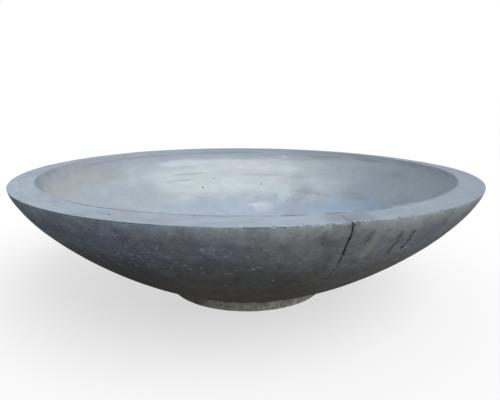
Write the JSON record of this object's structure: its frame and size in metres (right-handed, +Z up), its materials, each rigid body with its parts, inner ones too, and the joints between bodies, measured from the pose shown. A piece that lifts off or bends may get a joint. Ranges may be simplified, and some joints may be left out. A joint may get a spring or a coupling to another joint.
{
  "type": "bowl planter",
  "caption": "Wide shallow concrete bowl planter on a low ring foot, with a flat rim, a trowelled inside, a central drain hole and a steel cage cast into the wall.",
  "frame": {"origin": "on the ground at the centre of the ring foot", "axes": "+Z up along the bowl's axis, -Y towards the side that is seen from the front"},
  "size_m": [0.999, 0.999, 0.2764],
  "materials": {
    "cast_concrete": "matte",
    "trowelled_concrete": "matte",
    "foot_concrete": "matte",
    "mortar": "matte",
    "steel": "matte",
    "pipe": "satin"
  },
  "bodies": {
    "root": {"bowl_shell": "cast_concrete", "inner_lining": "trowelled_concrete", "foot_ring": "foot_concrete", "mortar_bed": "mortar", "drain_sleeve": "pipe", "rim_hoop": "steel", "upper_hoop": "steel", "lower_hoop": "steel", "hub_hoop": "steel", "radial_bar_01": "steel", "radial_bar_02": "steel", "radial_bar_03": "steel", "radial_bar_04": "steel", "radial_bar_05": "steel", "radial_bar_06": "steel", "radial_bar_07": "steel", "radial_bar_08": "steel", "radial_bar_09": "steel", "radial_bar_10": "steel", "radial_bar_11": "steel", "radial_bar_12": "steel"}
  },
  "joints": []
}
